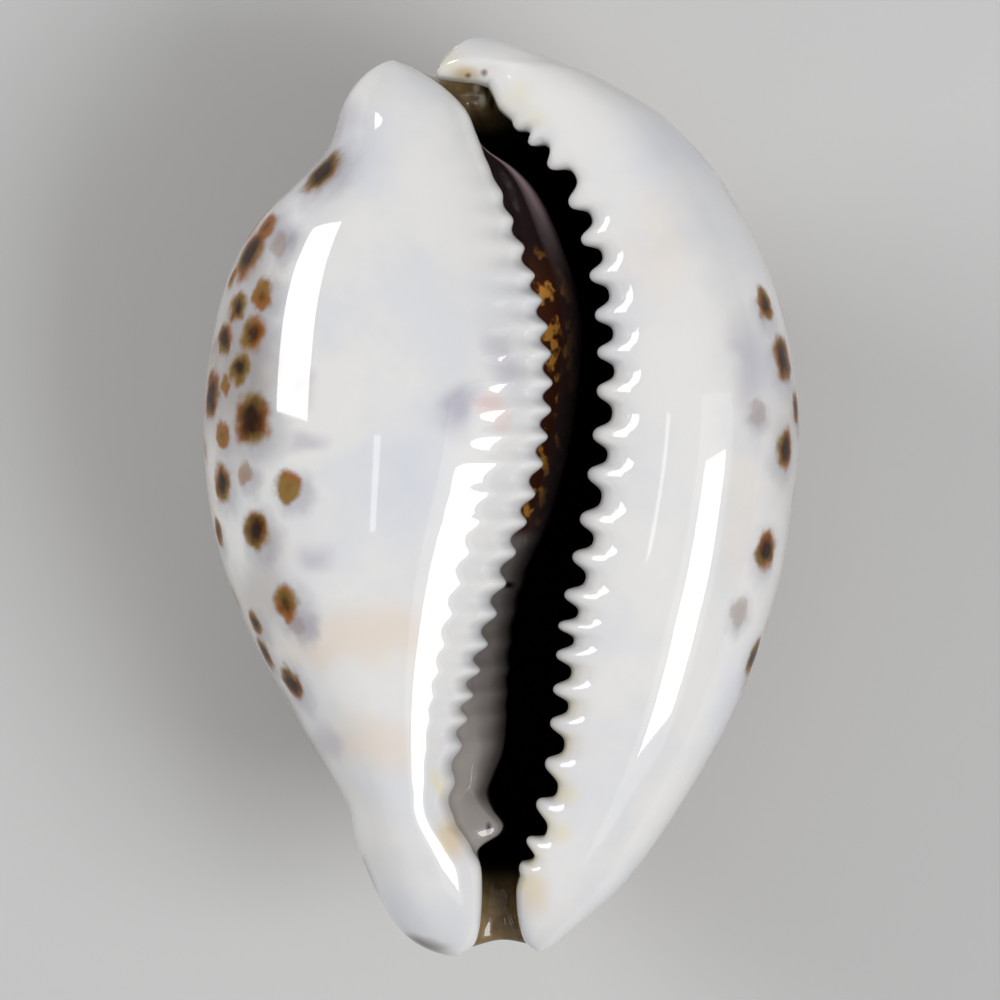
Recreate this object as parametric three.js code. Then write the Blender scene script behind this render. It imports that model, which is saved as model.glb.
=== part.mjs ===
// A large cowrie shell lying on its back, aperture up. Millimetres.
//
// Frame: +Y points to the posterior end (the spire end), -Y to the anterior canal,
// +X to the outer (labral) lip, and +Z out of the base. The origin is the middle of
// the small flat spot that the dome of the back rests on.
//
// A cowrie is one rolled sheet. Each cross-section is an outer curve and an inner
// curve that run side by side, from the tip of the inner whorl, up over the toothed
// columellar lip, round the flank, the back and the other flank, to the toothed labral
// lip. At both ends of the shell the two curves draw together into a rounded rim.

import * as THREE from 'three';

// Size and walls.
const END = 42.6; // half the length of the shell
const REST_CUT = 0.5; // how far the flat spot is worn into the dome
const MARGIN_WALL = 4.2; // thickness at the left and right margins
const BASE_WALL = 4.8; // thickness of the callused base
const CANAL_WALL = 2.4; // thickness of the lips beside both canals
const CREST_LEFT = 0.42; // where the base is highest, as a share of the way to the margin
const CREST_RIGHT = 0.45;
const ROOF_INSET = 1; // how much closer to the slit the cavity's roof is highest
const BOTTOM_SHIFT = 0.1; // how much of the slit's sideways bend the dome follows
const CANAL_LEVEL = 31; // height of the middle of the canals
const CANAL_ROOM = 1.4; // least height from a canal's floor to its middle

// Roundness of the section: 2 is an ellipse, more is fuller.
const OUTER_FULLNESS = 2.1;
const BASE_FULLNESS = 2;
const BACK_CROWDING = 1.3; // brings the strips of the back closer to the flat spot

// The labral lip's rounded end, measured from its edge when the cavity is at full width.
const LIP_END_OUT = 0.7;
const LIP_END_DOWN = 1.2;
const UNDER_LIP_OUT = 2.6;
const UNDER_LIP_DOWN = 1.8;

// The inner whorl.
const WHORL_WALL = 1.3;
const WHORL_ROOT = 52; // degrees above level at which it leaves the columella
const WHORL_TIGHTENING = 0.9; // how much closer to its centre the free edge is
const WHORL_EDGE_ROUNDING = 6; // the wall is full from one sixth of the turn
const WHORL_ROOF_SHARE = 0.4; // how far the columella's inner face runs to the roof
const NECK_INSET = 0.5; // how far the columella is hollowed under its edge
const NECK_LEVEL = 0.45;
const FOLD_TIP_DOWN = 1.2; // in the canals the whorl lies against the lip, this far down
const FOLD_OUTER_DOWN = 0.8;
const FOLD_INNER_DOWN = 1.6;

// Teeth: each number is the place along the shell of one tooth.
const LABRAL_TEETH = [-34.6, -31.9, -28.3, -24.6, -20.9, -17.8, -14.6, -11.9, -9.0, -5.5, -2.0,
  2.1, 5.7, 9.7, 13.2, 16.6, 20.2, 23.5, 26.9, 30.5, 32.9, 34.7];
const COLUMELLAR_TEETH = [-29.6, -26.5, -23.1, -20.6, -18.4, -16.1, -13.7, -10.9, -8.1, -5.3,
  -2.5, 0.1, 2.9, 5.4, 7.9, 10.4, 13.1, 15.6, 18.1, 20.4, 23.0, 25.6, 28.1, 31];
const LABRAL_TOOTH = 1.4; // depth between two labral teeth
const COLUMELLAR_TOOTH = 0.7; // depth between two columellar teeth
const LABRAL_REACH = [0.3, 0.95]; // where on the base the labral ridges begin and are full
const COLUMELLAR_REACH = [0.02, 0.74]; // the same for the columellar ridges, from the edge

// The ends.
const ROUNDING_START = 36; // where the ends begin to round off
const DRIFT_START = 28; // where the strips begin to part towards their own rim places

// Steps along the shell.
const STEP = 3; // distance between two sections
const FINE_SPLIT = 4; // sections on the toothed stretches for each step
const ROUNDING_STEPS = 7;

const COLOUR = 0xe9e8e6;

const lerp = THREE.MathUtils.lerp;
const smoothstep = THREE.MathUtils.smoothstep;
const RIGHT_ANGLE = Math.PI / 2;

// A smooth curve through a few [place, value] pairs.
function through(...pairs) {
  const last = pairs.length - 1;
  const slopes = pairs.map((pair, i) => {
    const before = pairs[Math.max(i - 1, 0)];
    const after = pairs[Math.min(i + 1, last)];
    return (after[1] - before[1]) / (after[0] - before[0]);
  });
  return (place) => {
    let i = 0;
    while (i < last - 1 && place > pairs[i + 1][0]) i += 1;
    const span = pairs[i + 1][0] - pairs[i][0];
    const t = THREE.MathUtils.clamp((place - pairs[i][0]) / span, 0, 1);
    const bend = t * t * (3 - 2 * t);
    const leave = slopes[i] * span * t * (1 - t) * (1 - t);
    const arrive = slopes[i + 1] * span * t * t * (1 - t);
    return lerp(pairs[i][1], pairs[i + 1][1], bend) + leave - arrive;
  };
}

// Outline, seen from above the base.
const leftSide = through([-42.6, -11.2], [-37.7, -11.5], [-32.1, -13.6], [-28.5, -14.5],
  [-20.9, -19.0], [-12.5, -23.7], [-4.1, -26.7], [5, -27.9], [12.7, -27.4], [20, -25.7],
  [25.5, -22.8], [29.5, -18.8], [32.6, -16.4], [36, -15.3], [42.6, -14.9]);
const rightSide = through([-42.6, 6.8], [-40.5, 8.4], [-37.7, 10.7], [-32.1, 14.8],
  [-20.9, 21.5], [-9.7, 25.7], [0, 27.5], [7, 28.0], [15, 27.0], [21.1, 25.1],
  [29.5, 20.7], [35.1, 16.1], [37.9, 12.9], [40.7, 10.0], [42.6, 7.0]);

// Edges of the aperture: the tips of the columellar teeth and of the labral teeth.
const columellarEdge = through([-42.6, -1.8], [-36, -1.7], [-34.2, -1.9], [-32.8, -2.6],
  [-31.3, -3.4], [-30.2, -4.1], [-28.6, -4.5], [-25.9, -4.1], [-22.4, -3.4], [-18.1, -2.4],
  [-6.9, 0.9], [-1.3, 2.8], [4.3, 4.2], [11, 4.8], [18.3, 3.8], [27, 0.6], [31, -1.1],
  [35, -2.2], [38, -3.0], [40.6, -4.3], [41.7, -5.3], [42.6, -6.5]);
const labralEdge = through([-42.6, 1.6], [-36, 1.5], [-31.9, 2.4], [-24.6, 4.1], [-14.6, 5.1],
  [-11.9, 5.3], [-5.5, 6.6], [2.1, 8.0], [11.5, 8.9], [20.2, 8.2], [26.9, 6.3], [30.5, 4.4],
  [33.2, 2.4], [36.9, -0.1], [39.2, -0.9], [39.8, -1.5], [40.05, -4.0], [40.3, -5.9],
  [41.0, -6.1], [42.0, -5.5], [42.6, -4.6]);

// Heights: the crest of each side of the base, the edges of the aperture, the widest
// level of each flank, and the dome of the back.
const leftCrest = through([-42.6, 36.5], [-30, 40.0], [-20, 42.2], [-6, 43.9], [6, 44.0],
  [18, 42.8], [30, 40.0], [42.6, 36.4]);
const rightCrest = through([-42.6, 36.0], [-30, 38.5], [-15, 40.8], [2, 41.8], [15, 41.2],
  [28, 39.0], [42.6, 36.6]);
const columellarHeight = through([-42.6, 34.4], [-30, 35.6], [-10, 37.0], [8, 37.4],
  [25, 36.4], [42.6, 33.8]);
const labralHeight = through([-42.6, 33.9], [-30, 35.0], [-10, 36.4], [8, 36.8],
  [25, 35.8], [42.6, 33.8]);
const flankHeight = through([-42.6, 30.5], [-25, 28.0], [5, 26.5], [25, 28.0], [42.6, 30.5]);
const domeHeight = through([-42.6, 27], [-38, 20.3], [-33, 13.8], [-26, 7.4], [-15, 1.9],
  [-6, -0.2], [2, -REST_CUT], [10, -0.05], [20, 2.6], [28, 7.4], [34, 13.2], [39, 20],
  [42.6, 26.5]);

// The cavity: how much of the full width it takes, its floor, and how far it is a canal.
const cavityShare = through([-36, 0], [-34, 0.15], [-31, 0.55], [-27, 0.9], [-22, 1], [22, 1],
  [28, 0.85], [32, 0.45], [35, 0.1], [37, 0]);
const cavityFloor = through([-42.6, 31.4], [-38, 30], [-35.4, 27.5], [-32, 18],
  [-26, 10.4], [-15, 4.8], [-5, 2.6], [2, 2.3], [10, 2.9], [18, 5.0], [27, 10], [32, 17],
  [35.5, 26], [38.5, 30], [42.6, 31.6]);
const canalShare = through([-36, 1], [-34.5, 0.85], [-32, 0], [31, 0], [34, 0.7], [36, 1]);

// The inner whorl: its right side as seen through the aperture, its radius, how many
// degrees it turns, and its height.
const whorlSide = through([-35, -1.7], [-33.6, -1.6], [-32.5, -0.7], [-31.6, 0.5],
  [-30.6, 0.8], [-29.1, -0.3], [-27.6, -0.9], [-26.2, -0.6], [-23.7, 0.2], [-18, 0.6],
  [-13, 1.1], [-8, 2.3], [-0.4, 5.2], [6, 6.8], [13, 7.6], [18.1, 7.4], [23.9, 5.7],
  [29.3, 3.2], [34, -0.8], [37, -4]);
const whorlRadius = through([-35, 1.5], [-30.7, 3.2], [-20, 6.6], [-10, 8.8], [0, 11],
  [8, 11.8], [16, 11.2], [24, 8.8], [30, 5.5], [36, 1.5]);
const whorlTurn = through([-36, 4], [-30, 60], [-24, 130], [-14, 252], [18, 252], [25, 150],
  [31, 60], [36, 4]);
const whorlHeight = through([-35, 32], [-26, 29.5], [-12, 27], [0, 25], [8, 24.5],
  [20, 25.5], [30, 29], [36, 31.5]);

// How strong the teeth are along the shell.
const labralSize = through([-37, 0], [-35.5, 0.2], [-33.5, 0.6], [-31.5, 1], [29, 1],
  [32, 0.6], [35, 0.3], [37, 0]);
const columellarSize = through([-32, 0], [-30, 0.15], [-27, 0.5], [-23, 0.9], [-16, 1.2],
  [0, 1.1], [22, 0.85], [30, 0.15], [33, 0]);

// A curve that grows by one from each tooth to the next.
function toothCount(places) {
  const spare = 3;
  const ends = [places[0] - spare, ...places, places[places.length - 1] + spare];
  return through(...ends.map((place, i) => [place, i]));
}

const labralCount = toothCount(LABRAL_TEETH);
const columellarCount = toothCount(COLUMELLAR_TEETH);

// 0 on the crest of a tooth and 1 in the middle of the gap beside it.
function gap(count) {
  return 0.5 - 0.5 * Math.cos(2 * Math.PI * count);
}

// A quarter of a superellipse from a level crest (t = 0) to an upright side (t = 1).
function arch(crest, side, power, t) {
  const turn = t * RIGHT_ANGLE;
  const across = Math.pow(Math.sin(turn), 2 / power);
  const up = Math.pow(Math.max(Math.cos(turn), 0), 2 / power);
  return [crest[0] + (side[0] - crest[0]) * across, side[1] + (crest[1] - side[1]) * up];
}

function crowd(t) {
  return Math.pow(t, BACK_CROWDING);
}

function mix(a, b, t) {
  return [lerp(a[0], b[0], t), lerp(a[1], b[1], t)];
}

// Both curves of the section at a place along the shell. Each entry gives the outer
// and the inner point for a stretch of the roll, at t from 0 to 1.
function section(along) {
  const edgeC = [columellarEdge(along), columellarHeight(along)];
  const edgeL = [labralEdge(along), labralHeight(along)];
  const left = leftSide(along);
  const right = rightSide(along);
  const level = flankHeight(along);
  const share = cavityShare(along);
  const canal = canalShare(along);
  const crestL = [lerp(edgeC[0], left, CREST_LEFT), leftCrest(along)];
  const crestR = [lerp(edgeL[0], right, CREST_RIGHT), rightCrest(along)];
  const slitMiddle = (edgeC[0] + edgeL[0]) / 2;
  const bottom = [slitMiddle * BOTTOM_SHIFT, domeHeight(along)];
  const marginL = [left, level];
  const marginR = [right, level];

  const floor = [lerp(slitMiddle, bottom[0], share), cavityFloor(along)];
  const middle = lerp(Math.max(floor[1] + CANAL_ROOM, CANAL_LEVEL), level, share);
  const insideL = [lerp(edgeC[0], left + MARGIN_WALL, share), middle];
  const insideR = [lerp(edgeL[0], right - MARGIN_WALL, share), middle];
  const highL = [crestL[0] - ROOF_INSET, crestL[1] - BASE_WALL];
  const highR = [crestR[0] + ROOF_INSET, crestR[1] - BASE_WALL];
  const roofL = mix([edgeC[0], edgeC[1] - CANAL_WALL], highL, share);
  const roofR = mix([edgeL[0], edgeL[1] - CANAL_WALL], highR, share);
  const lipEnd = [edgeL[0] + LIP_END_OUT * share, edgeL[1] - LIP_END_DOWN];
  const underLip = [edgeL[0] + UNDER_LIP_OUT * share, edgeL[1] - UNDER_LIP_DOWN - share];

  const radius = whorlRadius(along);
  const centre = [whorlSide(along) - radius, whorlHeight(along)];
  const ring = (t, size, foldDown) => {
    const angle = THREE.MathUtils.degToRad(WHORL_ROOT - whorlTurn(along) * (1 - t));
    const reach = size * lerp(WHORL_TIGHTENING, 1, t);
    const point = [centre[0] + reach * Math.cos(angle), centre[1] + reach * Math.sin(angle)];
    return mix(point, [edgeC[0], edgeC[1] - foldDown], canal);
  };
  const whorlOut = (t) => ring(t, radius, lerp(FOLD_TIP_DOWN, FOLD_OUTER_DOWN, t));
  const whorlIn = (t) => {
    const wall = WHORL_WALL * Math.min(1, t * WHORL_EDGE_ROUNDING);
    return ring(t, radius - wall, lerp(FOLD_TIP_DOWN, FOLD_INNER_DOWN, t));
  };
  const neckInset = NECK_INSET * (1 - canal);
  const neck = [edgeC[0] - neckInset, lerp(whorlOut(1)[1], edgeC[1], NECK_LEVEL)];
  const columella = (t) => mix(mix(whorlOut(1), neck, t), mix(neck, edgeC, t), t);
  const underColumella = (t) => mix(whorlIn(1), roofL, t);

  return {
    whorl: [whorlOut, whorlIn],
    columella: [columella, (t) => underColumella(t * WHORL_ROOF_SHARE)],
    baseLeft: [
      (t) => arch(crestL, edgeC, BASE_FULLNESS, 1 - t),
      (t) => underColumella(lerp(WHORL_ROOF_SHARE, 1, t)),
    ],
    flankLeft: [
      (t) => arch(crestL, marginL, OUTER_FULLNESS, t),
      (t) => arch(roofL, insideL, BASE_FULLNESS, t),
    ],
    backLeft: [
      (t) => arch(bottom, marginL, OUTER_FULLNESS, crowd(1 - t)),
      (t) => arch(floor, insideL, OUTER_FULLNESS, crowd(1 - t)),
    ],
    backRight: [
      (t) => arch(bottom, marginR, OUTER_FULLNESS, crowd(t)),
      (t) => arch(floor, insideR, OUTER_FULLNESS, crowd(t)),
    ],
    flankRight: [
      (t) => arch(crestR, marginR, OUTER_FULLNESS, 1 - t),
      (t) => arch(roofR, insideR, BASE_FULLNESS, 1 - t),
    ],
    baseRight: [
      (t) => arch(crestR, edgeL, BASE_FULLNESS, t),
      (t) => mix(roofR, underLip, t),
    ],
    labralLip: [(t) => mix(edgeL, lipEnd, t), (t) => mix(underLip, lipEnd, t)],
  };
}

// The stretches of the roll: how many strips each has, and whether it carries teeth.
const STRETCHES = [
  { name: 'whorl', strips: 8, fine: false },
  { name: 'columella', strips: 2, fine: true },
  { name: 'baseLeft', strips: 6, fine: true },
  { name: 'flankLeft', strips: 4, fine: false },
  { name: 'backLeft', strips: 6, fine: false },
  { name: 'backRight', strips: 6, fine: false },
  { name: 'flankRight', strips: 4, fine: false },
  { name: 'baseRight', strips: 5, fine: true },
  { name: 'labralLip', strips: 1, fine: true },
];
const STRIPS = STRETCHES.reduce((sum, stretch) => sum + stretch.strips, 0);

// The rims, by strip along the roll: how far along the shell each one ends, how far
// aside it lies there, how near the inner curve, and how far it drops.
const rimPlace = {
  posterior: through([0, 39.0], [9, 39.0], [12, 39.8], [14, 40.2], [18, 40.4], [22, 39.8],
    [26, 39.2], [30, 40.5], [34, 42.3], [37, 42.5], [39, 42.1], [41, 41.1], [42, 40.8]),
  anterior: through([0, -41.4], [8, -41.4], [10, -41.8], [12, -42.3], [15, -42.6],
    [20, -42.4], [26, -41.4], [30, -41.7], [35, -42.2], [38, -42.2], [41, -41.7],
    [42, -41.4]),
};
const rimSide = {
  posterior: through([0, -8.2], [9, -7.8], [12, -8.4], [14, -9.5], [20, -9.8], [23, -8.2],
    [26, -5.8], [29, -3.4], [33, -1.6], [36, -1.9], [38, -2.9], [40, -4.0], [42, -4.8]),
  anterior: through([0, -2.6], [9, -2.6], [14, -4.0], [20, -4.4], [23, -2.2], [26, -0.1],
    [29, 2.0], [32, 3.8], [38, 3.6], [42, 2.5]),
};
const rimNearness = through([0, 0.6], [16, 0.6], [24, 0.7], [34, 0.75], [40, 0.55],
  [42, 0.5]);
const rimDrop = through([0, 0.6], [10, 0.6], [14, 0], [38, 0], [41, 0.4], [42, 0.4]);

// How suddenly the outer and the inner curve meet the rim: 2 is round.
const outerEnd = through([0, 3.4], [10, 3.4], [15, 2.4], [18, 2], [34, 2], [38, 2.6],
  [41, 3.6], [42, 3.6]);
const innerEnd = through([0, 3.4], [10, 3.4], [13, 2.4], [20, 2.2], [23, 4], [26, 6],
  [29, 4], [33, 2.2], [38, 2.4], [41, 3.4], [42, 3.6]);

// Tooth relief of the outer curve: how far the gaps between teeth push a point aside
// and down. It turns with the arch, from level at a lip's edge to upright on the base.
function toothRelief(name, t, along) {
  if (name === 'baseRight' || name === 'labralLip') {
    const depth = LABRAL_TOOTH * labralSize(along) * gap(labralCount(along));
    if (name === 'labralLip') return [depth, 0];
    const reach = depth * smoothstep(t, ...LABRAL_REACH);
    return [reach * Math.sin(t * RIGHT_ANGLE), -reach * Math.cos(t * RIGHT_ANGLE)];
  }
  if (name === 'baseLeft' || name === 'columella') {
    const depth = COLUMELLAR_TOOTH * columellarSize(along) * gap(columellarCount(along));
    if (name === 'columella') return [-depth * t, 0];
    const reach = depth * (1 - smoothstep(t, ...COLUMELLAR_REACH));
    return [-reach * Math.cos(t * RIGHT_ANGLE), -reach * Math.sin(t * RIGHT_ANGLE)];
  }
  return [0, 0];
}

// One point of the shell. strip counts along the roll, face 0 is outer and 1 is inner.
function shellPoint(stretch, t, strip, face, along) {
  const end = along > 0 ? 'posterior' : 'anterior';
  const beyond = Math.max(Math.abs(along) - ROUNDING_START, 0) / (END - ROUNDING_START);
  const power = face === 0 ? outerEnd(strip) : innerEnd(strip);
  const full = Math.sqrt(Math.max(1 - Math.pow(beyond, power), 0));
  const curves = section(along)[stretch.name];
  const outer = curves[0](t);
  const inner = curves[1](t);
  const relief = toothRelief(stretch.name, t, along);
  const rimHeight = lerp(outer[1], inner[1], rimNearness(strip)) - rimDrop(strip);
  const point = face === 0 ? [outer[0] + relief[0], outer[1] + relief[1]] : inner;
  const place = mix([rimSide[end](strip), rimHeight], point, full);
  const drift = rimPlace[end](strip) - Math.sign(along) * END;
  const shift = drift * smoothstep(Math.abs(along), DRIFT_START, END);
  return [place[0], along + shift, face === 0 ? Math.max(place[1], 0) : place[1]];
}

// Places along the shell: even steps in the middle, closer together over the rims.
function placesAlong(split) {
  const ends = [];
  for (let i = 1; i <= ROUNDING_STEPS; i += 1) {
    const turn = (RIGHT_ANGLE * i) / ROUNDING_STEPS;
    ends.push(ROUNDING_START + (END - ROUNDING_START) * Math.sin(turn));
  }
  const steps = Math.round((2 * ROUNDING_START) / STEP) * split;
  const middle = [];
  for (let i = 0; i <= steps; i += 1) {
    middle.push(-ROUNDING_START + (2 * ROUNDING_START * i) / steps);
  }
  const starts = ends.map((place) => -place).reverse();
  return [...starts, ...middle, ...ends];
}

// Columns of points run along the shell. The two faces share their first and last
// columns, and the end points of all the others.
function makeShell() {
  const positions = [];
  const triangles = [];
  const coarse = placesAlong(1);
  const fine = placesAlong(FINE_SPLIT);

  function column(stretch, t, strip, face, toothed, twin) {
    const places = toothed ? fine : coarse;
    return places.map((along, i) => {
      if (twin && (i === 0 || i === places.length - 1)) {
        return twin[i === 0 ? 0 : twin.length - 1];
      }
      positions.push(...shellPoint(stretch, t, strip, face, along));
      return { along, index: positions.length / 3 - 1 };
    });
  }

  // Triangles between two columns, always advancing the one that lags behind.
  function strip(a, b, flipped) {
    let i = 0;
    let j = 0;
    while (i < a.length - 1 || j < b.length - 1) {
      const aLeads = i < a.length - 1 && (j === b.length - 1 || a[i + 1].along <= b[j + 1].along);
      const next = aLeads ? a[i + 1] : b[j + 1];
      const face = [a[i].index, b[j].index, next.index];
      if (flipped) face.reverse();
      if (new Set(face).size === 3) triangles.push(...face);
      if (aLeads) i += 1;
      else j += 1;
    }
  }

  const outer = [];
  const inner = [];
  let stripNumber = 0;
  STRETCHES.forEach((stretch, s) => {
    const before = STRETCHES[s - 1];
    for (let i = 0; i <= stretch.strips; i += 1) {
      if (i === stretch.strips && s < STRETCHES.length - 1) break;
      const t = i / stretch.strips;
      const toothed = stretch.fine || (i === 0 && before !== undefined && before.fine);
      const outerColumn = column(stretch, t, stripNumber, 0, toothed, null);
      outer.push(outerColumn);
      const shared = stripNumber === 0 || stripNumber === STRIPS;
      inner.push(shared ? outerColumn : column(stretch, t, stripNumber, 1, false, outerColumn));
      stripNumber += 1;
    }
  });
  for (let k = 0; k < STRIPS; k += 1) {
    strip(outer[k], outer[k + 1], true);
    strip(inner[k], inner[k + 1], false);
  }

  const geometry = new THREE.BufferGeometry();
  geometry.setAttribute('position', new THREE.Float32BufferAttribute(positions, 3));
  geometry.setIndex(triangles);
  geometry.computeVertexNormals();
  return geometry;
}

const shell = new THREE.Mesh(
  makeShell(),
  new THREE.MeshStandardMaterial({ color: COLOUR, roughness: 0.15, metalness: 0 }),
);
shell.name = 'cowrie_shell';

const cowrie = new THREE.Group();
cowrie.add(shell);

export default cowrie;
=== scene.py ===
# %% [markdown]
# # A cowrie shell, rolled from one sheet
#
# A cowrie is not carved, it grows. The animal lays shell along the lip of one
# sheet, the sheet rolls up round itself, and in the adult the last turn covers all
# the others. So this lesson doesn't sculpt a lump. It takes a flat grid, rolls it
# up section by section, and welds its borders, the way the real thing is built.
#
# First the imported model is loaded. It gives the box that the shell has to fill.

# %% Load the frame
import math
import bmesh
import bpy
from mathutils import Matrix, Vector


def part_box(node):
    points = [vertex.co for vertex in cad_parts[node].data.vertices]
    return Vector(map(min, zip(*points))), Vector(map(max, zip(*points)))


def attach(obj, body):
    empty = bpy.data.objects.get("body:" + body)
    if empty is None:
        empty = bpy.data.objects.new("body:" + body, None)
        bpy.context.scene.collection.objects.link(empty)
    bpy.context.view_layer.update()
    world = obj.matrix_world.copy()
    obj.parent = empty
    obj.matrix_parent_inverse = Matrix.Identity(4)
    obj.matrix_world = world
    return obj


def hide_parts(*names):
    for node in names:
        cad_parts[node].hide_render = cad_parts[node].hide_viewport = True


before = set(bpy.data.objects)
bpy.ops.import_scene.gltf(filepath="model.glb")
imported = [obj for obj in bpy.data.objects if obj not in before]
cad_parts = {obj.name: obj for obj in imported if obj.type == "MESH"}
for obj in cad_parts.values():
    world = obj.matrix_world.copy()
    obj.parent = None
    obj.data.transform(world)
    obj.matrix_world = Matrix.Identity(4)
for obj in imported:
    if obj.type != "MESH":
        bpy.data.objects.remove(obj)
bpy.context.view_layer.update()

shell_low, shell_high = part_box("cowrie_shell")
print("box of the packed shell in mm:", [round(c * 1000, 1) for c in shell_high - shell_low])

# %% [markdown]
# ## Sizes
#
# The tables further down are written for a shell whose box is 85.1 mm long, 55.9 mm
# wide and 44.1 mm high, because whole millimetres are easy to read and to change.
# Three factors then stretch them to the box that the frame gives.

# %% Factors from the tables' millimetres to the frame's metres
TABLE_SIZE = (55.94, 85.13, 44.12)
TABLE_CENTRE = (0.04, -0.04)
size = shell_high - shell_low
factor = Vector([size[i] / TABLE_SIZE[i] for i in range(3)])
centre_x = (shell_low.x + shell_high.x) / 2 - TABLE_CENTRE[0] * factor.x
centre_y = (shell_low.y + shell_high.y) / 2 - TABLE_CENTRE[1] * factor.y
MM = factor.y
print("metres for each table millimetre:", [round(f, 7) for f in factor])


def to_metres(x, along, height):
    """A place in table millimetres, as a point in the frame."""
    return Vector((centre_x + x * factor.x, centre_y + along * factor.y,
                   shell_low.z + height * factor.z))


# %% [markdown]
# ## Curves through a few points
#
# Every profile of the shell changes smoothly from one end to the other. Each is
# given by a handful of pairs: a place along the shell, and the value there. The
# helper joins them with a cubic, which passes through each pair without corners.

# %% The curve helper
def through(*pairs):
    """A smooth curve through pairs of a place and the value there."""
    last = len(pairs) - 1
    slopes = []
    for i in range(last + 1):
        before = pairs[max(i - 1, 0)]
        after = pairs[min(i + 1, last)]
        slopes.append((after[1] - before[1]) / (after[0] - before[0]))

    def value(along):
        i = 0
        while i < last - 1 and along > pairs[i + 1][0]:
            i += 1
        span = pairs[i + 1][0] - pairs[i][0]
        t = min(max((along - pairs[i][0]) / span, 0.0), 1.0)
        bend = t * t * (3 - 2 * t)
        leave = slopes[i] * span * t * (1 - t) * (1 - t)
        arrive = slopes[i + 1] * span * t * t * (1 - t)
        return pairs[i][1] * (1 - bend) + pairs[i + 1][1] * bend + leave - arrive

    return value


def lerp(a, b, t):
    """The number at share t of the way from a to b."""
    return a + (b - a) * t


def mix(a, b, t):
    """The same for two points of a section."""
    return (lerp(a[0], b[0], t), lerp(a[1], b[1], t))


def ease(t, low=0.0, high=1.0):
    """0 up to low, 1 from high on, and a smooth step between them."""
    t = min(max((t - low) / (high - low), 0.0), 1.0)
    return t * t * (3 - 2 * t)


hill = through((0, 0), (10, 4), (20, 0))
print("a curve through (0, 0), (10, 4) and (20, 0) is at", round(hill(5), 2), "at place 5")

# %% [markdown]
# ## The profiles
#
# Along the shell, +Y is the end where the spire is buried and -Y is the end where
# the animal's siphon came out. The outline is what one sees from above the base.
# The edges are the two lips of the slit, measured at the tips of their teeth.

# %% Outline and lips
HALF_LENGTH = 42.6
left_side = through((-42.6, -11.2), (-37.7, -11.5), (-32.1, -13.6), (-28.5, -14.5),
                    (-20.9, -19.0), (-12.5, -23.7), (-4.1, -26.7), (5, -27.9),
                    (12.7, -27.4), (20, -25.7), (25.5, -22.8), (29.5, -18.8),
                    (32.6, -16.4), (36, -15.3), (42.6, -14.9))
right_side = through((-42.6, 6.8), (-40.5, 8.4), (-37.7, 10.7), (-32.1, 14.8),
                     (-20.9, 21.5), (-9.7, 25.7), (0, 27.5), (7, 28.0), (15, 27.0),
                     (21.1, 25.1), (29.5, 20.7), (35.1, 16.1), (37.9, 12.9),
                     (40.7, 10.0), (42.6, 7.0))
columellar_edge = through((-42.6, -1.8), (-36, -1.7), (-34.2, -1.9), (-32.8, -2.6),
                          (-31.3, -3.4), (-30.2, -4.1), (-28.6, -4.5), (-25.9, -4.1),
                          (-22.4, -3.4), (-18.1, -2.4), (-6.9, 0.9), (-1.3, 2.8),
                          (4.3, 4.2), (11, 4.8), (18.3, 3.8), (27, 0.6), (31, -1.1),
                          (35, -2.2), (38, -3.0), (40.6, -4.3), (41.7, -5.3),
                          (42.6, -6.5))
labral_edge = through((-42.6, 1.6), (-36, 1.5), (-31.9, 2.4), (-24.6, 4.1), (-14.6, 5.1),
                      (-11.9, 5.3), (-5.5, 6.6), (2.1, 8.0), (11.5, 8.9), (20.2, 8.2),
                      (26.9, 6.3), (30.5, 4.4), (33.2, 2.4), (36.9, -0.1), (39.2, -0.9),
                      (39.8, -1.5), (40.05, -4.0), (40.3, -5.9), (41.0, -6.1),
                      (42.0, -5.5), (42.6, -4.6))
print("width over both flanks at the middle:", round(right_side(0) - left_side(0), 1),
      "mm, width of the slit there:", round(labral_edge(0) - columellar_edge(0), 1), "mm")

# %% [markdown]
# Seen from one end, the shell is a bowl with a rolled-in rim. Both halves of the
# base rise to a crest and sink again towards the slit, and the flanks are widest at
# about two thirds of the height. Only the dome below touches the ground. A real
# shell rocks there on one point, so here its lowest half millimetre is cut off flat,
# and the shell has a spot to rest on.

# %% Heights above the ground
left_crest = through((-42.6, 36.5), (-30, 40.0), (-20, 42.2), (-6, 43.9), (6, 44.0),
                     (18, 42.8), (30, 40.0), (42.6, 36.4))
right_crest = through((-42.6, 36.0), (-30, 38.5), (-15, 40.8), (2, 41.8), (15, 41.2),
                      (28, 39.0), (42.6, 36.6))
columellar_height = through((-42.6, 34.4), (-30, 35.6), (-10, 37.0), (8, 37.4),
                            (25, 36.4), (42.6, 33.8))
labral_height = through((-42.6, 33.9), (-30, 35.0), (-10, 36.4), (8, 36.8), (25, 35.8),
                        (42.6, 33.8))
flank_height = through((-42.6, 30.5), (-25, 28.0), (5, 26.5), (25, 28.0), (42.6, 30.5))
REST_CUT = 0.5
dome_height = through((-42.6, 27), (-38, 20.3), (-33, 13.8), (-26, 7.4), (-15, 1.9),
                      (-6, -0.2), (2, -REST_CUT), (10, -0.05), (20, 2.6), (28, 7.4),
                      (34, 13.2), (39, 20), (42.6, 26.5))
print("left crest at the middle:", round(left_crest(0), 1), "mm above the ground, right crest:",
      round(right_crest(0), 1), "mm")

# %% [markdown]
# Inside, the room for the animal is as wide as the shell less its walls, and narrows
# to a canal at both ends. The older, inner whorl shows through the slit, so it is a
# real curl of the sheet here: a side, a radius, a height and how far it turns.

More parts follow.
